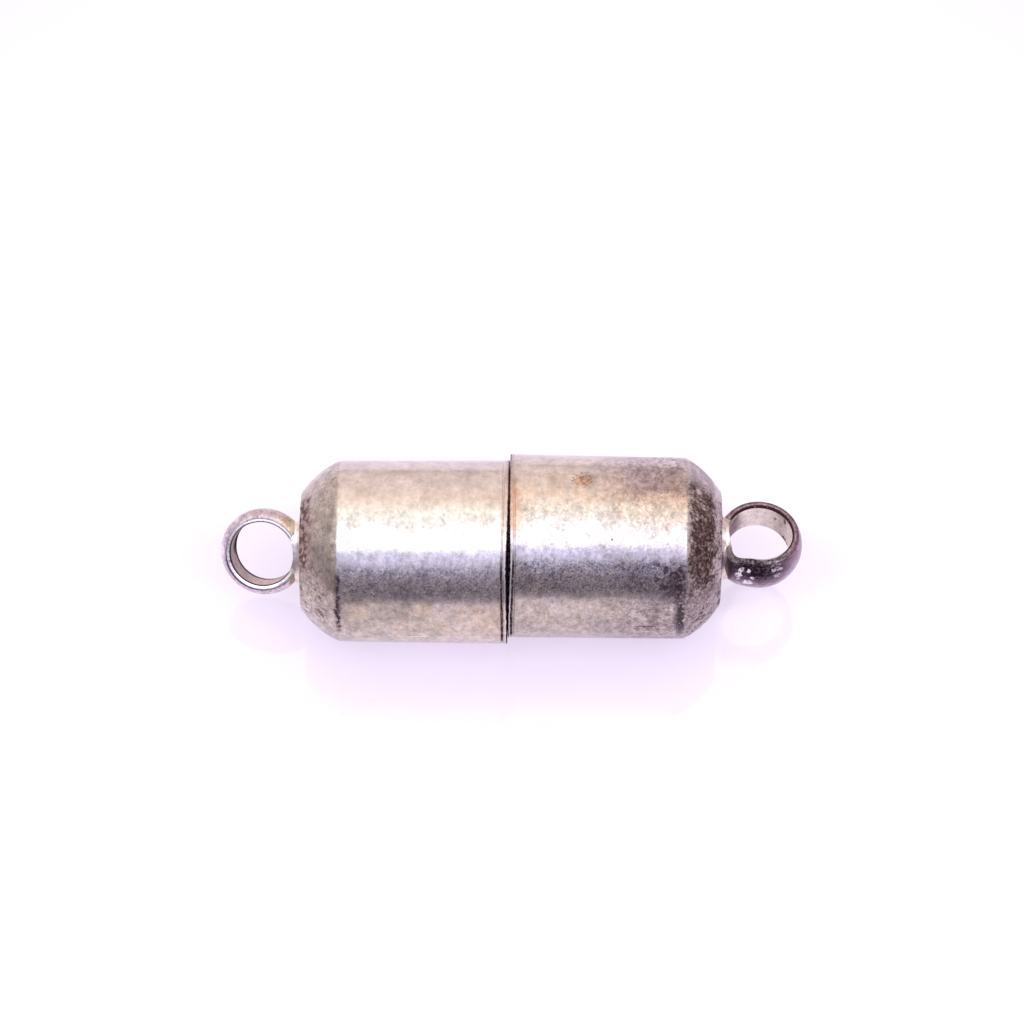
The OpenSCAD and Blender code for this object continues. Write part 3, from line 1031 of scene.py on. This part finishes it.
def left_loop_metal():
    """The left loop: lightly tarnished mauve, golden by its solder, its rim bright, partly with wear and
    partly with a painted highlight.
    """
    finish, radius, height = loop_finish("left_loop_silver", left_end @ loop_turn(LEFT_LOOP), MAUVE, 0.22)
    mottle, spot, between, rise = finish.mottle, finish.spot, finish.between, finish.rise
    both, mix = finish.both, finish.mix
    across = split(finish.tree, finish.place)["Y"]
    inside = rise(radius, BORE_R + 0.02, BORE_R + 0.005)
    near = rise(height, STEEP_W - 0.12, STEEP_W - 0.08)
    # How far a place is beyond the rim's bright band, which is wider at the front than at the back
    beyond = finish.calc("ADD", finish.calc("MULTIPLY_ADD", across, 0.013, -BORE_R - 0.115), radius)
    worn = both(near, rise(beyond, 0.01, -0.01))
    finish.coats([
        # masks and strength, colour, roughness, metal
        ((mottle(0.4, 0.5, 0.14, 21.0), 0.5), SILVER),
        ((spot((0.85, 1.0, 0.25), (0.65, 0.55, 0.8), 0.15), 0.95), GOLDEN, 0.35),
        ((spot((1.15, 1.05, 0.1), (0.36, 0.6, 0.9), 0.1),), (0.92, 0.74, 0.52), 0.55, 0.2),
        ((spot((-1.45, 0.05, 0.0), (0.4, 0.7, 0.6), 0.1), 0.9), (0.93, 0.81, 0.94), 0.45, 0.2),
        ((spot((1.0, -0.8, 0.25), (0.35, 0.35, 0.6), 0.15), 0.8), PALE_GOLD, 0.22),
        ((spot((0.1, 1.25, 0.25), (0.9, 0.32, 0.6), 0.1), 0.85), (0.5, 0.41, 0.39), 0.48, 0.9),
        ((inside, 0.95), (0.44, 0.34, 0.3), 0.45, 0.7),
        ((inside, spot((0.2, -1.1, 0.0), (0.8, 0.5, 0.8), 0.3), 0.7), (0.7, 0.52, 0.44), 0.45),
    ])
    finish.tone(0.9, 1.0, 0.6, 22.0)
    left_side = spot((-1.15, 0.0, 0.35), (0.5, 0.8, 0.5), 0.1)
    lower = spot((-0.8, -0.75, 0.0), (1.5, 1.4, 3.0), 0.0)
    outline = both(between(beyond, 0.01, 0.04, 0.015), near, mottle(0.12, 0.8, 0.1, 26.0))
    far_edge = both(inside, rise(height, -0.47, -0.53), mottle(0.12, 0.85, 0.1, 27.0))
    finish.coats([
        ((mottle(0.08, 0.34, 0.08, 23.0), 0.5), BROWN_OXIDE, 0.4),
        # The rim's bright band: worn silver, and partly a painted highlight
        ((worn, mottle(0.15, 0.7, 0.07, 24.0)), (0.98, 0.9, 0.82), 0.12, 1.0),
        ((worn, left_side, mottle(0.09, 0.42, 0.08, 25.0), 0.8), (0.1, 0.06, 0.08), 0.4, 0.8),
        ((outline, mix(0.25, 1.0, lower)), DULL_BLACK, 0.8, 0.0),
        ((near, rise(radius, BORE_R + 0.042, BORE_R + 0.025), 0.95), DULL_BLACK, 0.8, 0.0),
        ((far_edge, lower, 0.95), (0.06, 0.015, 0.015), 0.8, 0.0),
        ((inside, spot((-1.06, 0.3, -0.5), (0.4, 0.6, 0.36), 0.2)), (0.012, 0.002, 0.003), 1.0, 0.0),
        ((inside, rise(height, 0.2, 0.27), left_side, 0.8), DULL_BLACK, 0.8, 0.0),
        ((spot((1.25, 0.0, 0.3), (0.34, 0.95, 0.8), 0.1), 0.95), GREY_SOLDER, 0.22, 1.0),
    ])
    return finish.done(2.5, 8.0, 1.0)


def right_loop_metal():
    """The right loop: a mauve rim, a creamy bore, and black outside at the front with bare chips."""
    finish, radius, height = loop_finish("right_loop_silver", right_end @ loop_turn(RIGHT_LOOP), CREAM, 0.28)
    mottle, spot, between, rise = finish.mottle, finish.spot, finish.between, finish.rise
    both, mix = finish.both, finish.mix
    outside = rise(radius, BORE_R + 0.13, BORE_R + 0.19)
    beyond_bore = rise(radius, BORE_R + 0.035, BORE_R + 0.055)
    bore = finish.without(beyond_bore)
    upper = both(rise(height, GENTLE_W - 0.09, GENTLE_W - 0.06), beyond_bore)
    inner_edge = both(rise(height, GENTLE_W - 0.14, GENTLE_W - 0.1),
                      rise(radius, BORE_R + 0.065, BORE_R + 0.04))
    finish.coat((mottle(0.35, 0.45, 0.14, 31.0), 0.5), (0.6, 0.54, 0.46))
    coat_chips(finish, bore, [
        # colour, centre, half sizes, strength
        ((0.16, 0.14, 0.16), (0.83, 0.7, 0.33), (0.17, 0.24, 0.17), 0.9),
        (BROWN_OXIDE, (-0.83, 0.67, 0.42), (0.06, 0.12, 0.15), 0.9),
        (BROWN_OXIDE, (-0.55, 0.92, 0.22), (0.05, 0.08, 0.06), 0.8),
        (BROWN_OXIDE, (-0.9, 0.58, -0.5), (0.22, 0.28, 0.2), 0.95),
    ])
    left_wall = both(spot((0.92, 0.6, -0.1), (0.45, 0.66, 0.85), 0.2), bore)
    # A lighter line along the rim's ridge: a painted highlight
    ridge = both(between(radius, BORE_R + 0.08, BORE_R + 0.11, 0.03), mottle(0.3, 0.55, 0.14, 35.0))
    finish.coats([
        # masks and strength, colour, roughness, metal
        ((left_wall, 0.9), (0.24, 0.15, 0.18), 0.7, 0.0),
        ((outside, 0.9), (0.27, 0.165, 0.235), 0.28),
        ((upper, 0.95), DARK_MAUVE, 0.22),
        ((upper, mottle(0.1, 0.46, 0.06, 39.0, ragged=0.75), 0.8), (0.055, 0.022, 0.03), 0.5, 0.5),
        ((upper, ridge, 0.7), (0.36, 0.25, 0.29), 0.2),
    ])
    finish.tone(mix(0.5, 1.1, beyond_bore), mix(0.7, 1.3, beyond_bore), 0.8, 32.0)
    # A lighter lavender patch low on the right of the outside: a painted reflection of the floor, with dark
    # tarnish specks on it
    lavender = both(spot((-1.15, -0.95, -0.1), (0.55, 0.45, 0.6), 0.15), outside)
    front = both(spot((0.12, -1.4, 0.46), (1.4, 1.02, 0.8), 0.12), beyond_bore)
    lip = both(spot((0.1, -1.07, 0.66), (1.0, 0.35, 0.2), 0.1), inner_edge)
    finish.coats([
        ((mottle(0.08, 0.36, 0.08, 34.0), mix(0.2, 0.6, beyond_bore)), BROWN_OXIDE, 0.4),
        ((inner_edge, mottle(0.14, 0.84, 0.08, 38.0)), (0.04, 0.01, 0.014), 0.8, 0.0),
        ((lavender, 0.75), (0.5, 0.37, 0.47), 0.25),
        ((lavender, mottle(0.1, 0.44, 0.06, 35.5), 0.5), (0.14, 0.08, 0.12), 0.35),
        ((front,), (0.017, 0.006, 0.013), 0.36),
        ((front, mottle(0.085, 0.42, 0.07, 36.0), 0.6), (0.2, 0.16, 0.19), 0.3),
        ((front, rise(height, 0.54, 0.66), mottle(0.12, 0.4, 0.08, 33.0), 0.7), (0.34, 0.27, 0.23), 0.3),
        ((lip,), (0.7, 0.6, 0.52), 0.22, 1.0),
    ])
    worn = both(outside, mottle(0.1, 0.58, 0.04, 37.0, ragged=0.75))
    coat_chips(finish, worn, [
        # colour, centre, half sizes, strength
        (BARE_CHIP, (0.7, -1.24, 0.18), (0.13, 0.3, 0.28), 0.9),
        (BARE_CHIP, (0.62, -1.26, 0.4), (0.1, 0.18, 0.1), 0.8),
        (BARE_CHIP, (0.38, -1.34, 0.37), (0.07, 0.14, 0.07), 0.95),
        (BARE_CHIP, (0.23, -1.42, 0.05), (0.08, 0.14, 0.08), 0.95),
        ((0.8, 0.76, 0.8), (0.37, -1.38, -0.24), (0.24, 0.36, 0.19), 0.95),
        ((0.6, 0.54, 0.57), (-0.54, -1.27, 0.4), (0.2, 0.28, 0.1), 0.8),
        ((0.52, 0.46, 0.51), (-0.61, -1.3, 0.12), (0.18, 0.28, 0.11), 0.7),
        ((0.45, 0.38, 0.44), (0.72, -1.08, -0.42), (0.32, 0.4, 0.2), 0.85),
        ((0.4, 0.34, 0.38), (-0.5, -1.1, 0.62), (0.28, 0.3, 0.12), 0.8),
    ])
    joint = spot((1.32, -0.25, 0.3), (0.36, 1.5, 1.1), 0.1)
    finish.coat((joint, beyond_bore, 0.95), (0.52, 0.44, 0.44), 0.35, 0.8)
    return finish.done(2.5, 8.0, 1.0)


def solder_metal(name, frame_matrix, gold, painted_highlight_at, tarnish):
    """Silver solder: golden at its ends, grey between, with a painted highlight spot."""
    finish = Finish(name, frame_matrix, GREY_SOLDER, 0.2)
    finish.coats([
        # masks and strength, colour, roughness, metal
        ((finish.spot((1.1, 1.1, 0.1), (0.8, 0.5, 1.0), 0.12), 0.9), gold, 0.24),
        ((finish.spot((1.1, -0.9, 0.1), (0.8, 0.6, 1.0), 0.12), 0.9), (0.92, 0.8, 0.68), 0.35, 0.5),
        # A painted highlight on the neck
        ((finish.spot(painted_highlight_at, (0.4, 0.2, 0.8), 0.05),), BRIGHT_SILVER, 0.14),
    ])
    finish.tone(0.7, 1.0, 0.5, 40.0)
    finish.coat((finish.mottle(0.12, tarnish, 0.1, 41.0), 0.55), (0.2, 0.15, 0.13), 0.35)
    return finish.done(2.0, 8.0, 0.5)


def nickel_metal(name, frame_matrix):
    """Bright nickel on a magnet's face, stained and worn, with painted shade round the edge of its face in
    the gap.
    """
    finish = Finish(name, frame_matrix, NICKEL, 0.16)
    finish.coat((finish.mottle(0.8, 0.45, 0.12, 51.0),), (0.6, 0.56, 0.52), 0.22)
    finish.tone(0.4, 0.3, 0.3, 52.0)
    finish.coat((finish.mottle(0.25, 0.16, 0.03, 53.0),), (0.24, 0.18, 0.13), 0.5)
    # Painted shade round the edge of the face, where it sits in the gap between the halves
    face = finish.stretch(-1.0, 0.1, stop=1.0)
    away = length_of(finish.tree, finish.place)
    finish.coat((face, finish.rise(away, 2.15, 2.35)), (0.02, 0.01, 0.012), 0.9, 0.0)
    return finish.done(0.5, 3.0, 2.0)


# Build

left_place = placing(-1)
right_place = placing(1)
left_end = left_place @ Matrix.Translation((-LEFT_BARREL["length"], 0, 0))
right_end = right_place @ Matrix.Translation((-RIGHT_BARREL["length"], 0, 0))

left_silver = half("left_barrel_silver", LEFT_BARREL, LEFT_LOOP, LEFT_SOLDER, left_band(), left_end, 1)
right_silver = half("right_barrel_silver", RIGHT_BARREL, RIGHT_LOOP, RIGHT_SOLDER, right_band(),
                    right_end, 2)
proud = Matrix.Translation((MAGNET_PROUD, 0, 0))
left_disc = magnet("left_magnet_disc", left_place @ proud)
right_disc = magnet("right_magnet_disc", right_place @ proud)

# Where each neck's painted highlight is, and how much of the neck is tarnished
left_solder_metal = solder_metal("left_solder", left_end @ loop_turn(LEFT_SOLDER), PALE_GOLD,
                                 (1.07, 0.64, 0.64), 0.2)
right_solder_metal = solder_metal("right_solder", right_end @ loop_turn(RIGHT_SOLDER), OLD_GOLD,
                                  (1.18, 0.34, 0.88), 0.3)
for piece, metals in (
    (left_silver, (left_plate(), left_solder_metal, left_loop_metal())),
    (right_silver, (right_plate(), right_solder_metal, right_loop_metal())),
    (left_disc, (nickel_metal("left_nickel", left_place),)),
    (right_disc, (nickel_metal("right_nickel", right_place),)),
):
    for metal in metals:
        piece.data.materials.append(metal)

for piece, node, body, slot in (
    (left_silver, "left_barrel", "left_half", "plated_left"),
    (left_disc, "left_magnet", "left_half", "magnet_nickel"),
    (right_silver, "right_barrel", "right_half", "plated_right"),
    (right_disc, "right_magnet", "right_half", "magnet_nickel"),
):
    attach(piece, body)
    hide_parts(node)

# Floor: pale acrylic over a light, so that it glows a little and mirrors faintly. Its sizes are
# in metres.

FLOOR_SIZE = 1.2
FLOOR_COLOUR = (0.37, 0.345, 0.37)
FLOOR_ROUGHNESS = 0.05
FLOOR_SPECULAR = 0.6
FLOOR_GLOW = (0.62, 0.545, 0.67)

# The glow begins at the first distance from the middle, and is whole from the second one inwards.
GLOW_FROM = 0.06
GLOW_TO = 0.019

# The clasp shades an oval of the floor below it, which shows through its loops. The shade begins
# at the first share of the oval's half sizes, and is whole from the second one inwards.
UNDER_Y = 0.0012
UNDER_SIZE = (0.0105, 0.0022, 1.0)
UNDER_SHADE = 0.16
SHADE_FROM = 1.25
SHADE_TO = 0.9


def floor_acrylic():
    material, tree, shader = new_material("floor_acrylic")
    shader["Base Color"].default_value = (*FLOOR_COLOUR, 1)
    shader["Roughness"].default_value = FLOOR_ROUGHNESS
    shader["Specular IOR Level"].default_value = FLOOR_SPECULAR
    shader["Emission Color"].default_value = (*FLOOR_GLOW, 1)
    place = tree.nodes.new("ShaderNodeTexCoord").outputs["Object"]
    away = length_of(tree, place)
    under = calc_vector(tree, "SUBTRACT", place, (0.0, UNDER_Y, 0.0))
    under = length_of(tree, calc_vector(tree, "DIVIDE", under, UNDER_SIZE))
    shade_below = calc(tree, "MULTIPLY", slope(tree, under, SHADE_FROM, SHADE_TO), -UNDER_SHADE)
    glow = calc(tree, "ADD", slope(tree, away, GLOW_FROM, GLOW_TO), shade_below)
    tree.links.new(glow, shader["Emission Strength"])
    return material


def build_floor():
    bm = bmesh.new()
    bmesh.ops.create_grid(bm, x_segments=1, y_segments=1, size=FLOOR_SIZE / 2)
    floor = mesh_object(bm, "floor")
    floor.data.materials.append(floor_acrylic())


build_floor()

# Light: a soft box overhead, a dim room to the front and a pale wall behind, by the angle
# of a direction up from the front horizon and over the top to the back

SKY_PEAK = 6.0
SKY = [
    # degrees, red, green, blue
    (-180, 0.72, 0.64, 0.71),
    (-3, 0.72, 0.64, 0.71),
    (0, 0.32, 0.295, 0.365),
    (8, 0.345, 0.31, 0.395),
    (15, 0.38, 0.34, 0.43),
    (27, 0.45, 0.415, 0.54),
    (38, 0.66, 0.67, 0.91),
    (46, 0.96, 0.99, 1.38),
    (54, 1.1, 1.14, 1.8),
    (61, 1.12, 1.22, 1.88),
    (66, 2.7, 2.8, 3.4),
    (82, 2.6, 2.6, 3.0),
    (92, 1.85, 1.95, 2.15),
    (114, 1.68, 1.74, 1.78),
    (123, 1.64, 1.52, 1.48),
    (132, 1.45, 1.26, 1.2),
    (152, 1.24, 1.1, 1.13),
    (180, 1.16, 1.01, 1.05),
]

# The light from the sides, which begins where a direction's X is 0.5 and is all there is from
# 0.68 on, by the same angle
SIDES_FROM = 0.5
SIDES_TO = 0.68
SIDE_SKY = [
    (-180, 0.75, 0.68, 0.75),
    (-90, 0.6, 0.54, 0.62),
    (0, 0.44, 0.39, 0.46),
    (45, 0.66, 0.6, 0.68),
    (90, 1.0, 0.91, 1.0),
    (180, 1.1, 0.98, 1.08),
]


def ramp_of(tree, share, table):
    """The colours of a table over the share of a full turn."""
    ramp = put(tree, "ShaderNodeValToRGB", values={"Fac": share})
    elements = ramp.color_ramp.elements
    while len(elements) < len(table):
        elements.new(0.5)
    for element, (degrees, *colour) in zip(elements, table):
        element.position = (degrees + 180) / 360
        element.color = [value / SKY_PEAK for value in colour] + [1]
    return ramp.outputs["Color"]


def build_sky():
    world = bpy.data.worlds.new("studio")
    bpy.context.scene.world = world
    world.use_nodes = True
    tree = world.node_tree
    tree.nodes.clear()
    direction = tree.nodes.new("ShaderNodeTexCoord").outputs["Generated"]
    apart = split(tree, direction)
    angle = calc(tree, "ARCTAN2", apart["Z"], calc(tree, "MULTIPLY", apart["Y"], -1.0))
    values = {"Value": angle, "From Min": -math.pi, "From Max": math.pi}
    share = put(tree, "ShaderNodeMapRange", values=values).outputs["Result"]
    aside = slope(tree, calc(tree, "ABSOLUTE", apart["X"]), SIDES_FROM, SIDES_TO)
    colour = mixed(tree, aside, ramp_of(tree, share, SKY), ramp_of(tree, share, SIDE_SKY))
    sky = put(tree, "ShaderNodeBackground", values={"Color": colour, "Strength": SKY_PEAK})
    put(tree, "ShaderNodeOutputWorld", values={"Surface": sky.outputs[0]})


build_sky()
bpy.context.scene.view_settings.view_transform = "Standard"

# Camera: 62 degrees above the front, one degree round to the right

ELEVATION = math.radians(62)
AZIMUTH = math.radians(1.0)
DISTANCE = 165.0
FRAME_WIDTH = 33.95
SENSOR = 36.0
AIM_UP = 1.227
AIM_RIGHT = 0.017


def place_camera():
    towards = Vector((
        math.sin(AZIMUTH) * math.cos(ELEVATION),
        -math.cos(AZIMUTH) * math.cos(ELEVATION),
        math.sin(ELEVATION),
    ))
    right = Vector((math.cos(AZIMUTH), math.sin(AZIMUTH), 0))
    up = towards.cross(right)
    aim = Vector((0, 0, AXIS_Z)) + up * AIM_UP + right * AIM_RIGHT
    data = bpy.data.cameras.new("camera")
    data.sensor_width = SENSOR
    data.lens = SENSOR * DISTANCE / FRAME_WIDTH
    data.clip_start = 0.01
    camera = new_object("camera", data)
    turn = Matrix((right, up, towards)).transposed().to_4x4()
    camera.matrix_world = Matrix.Translation((aim + towards * DISTANCE) * MM) @ turn
    bpy.context.scene.camera = camera


place_camera()
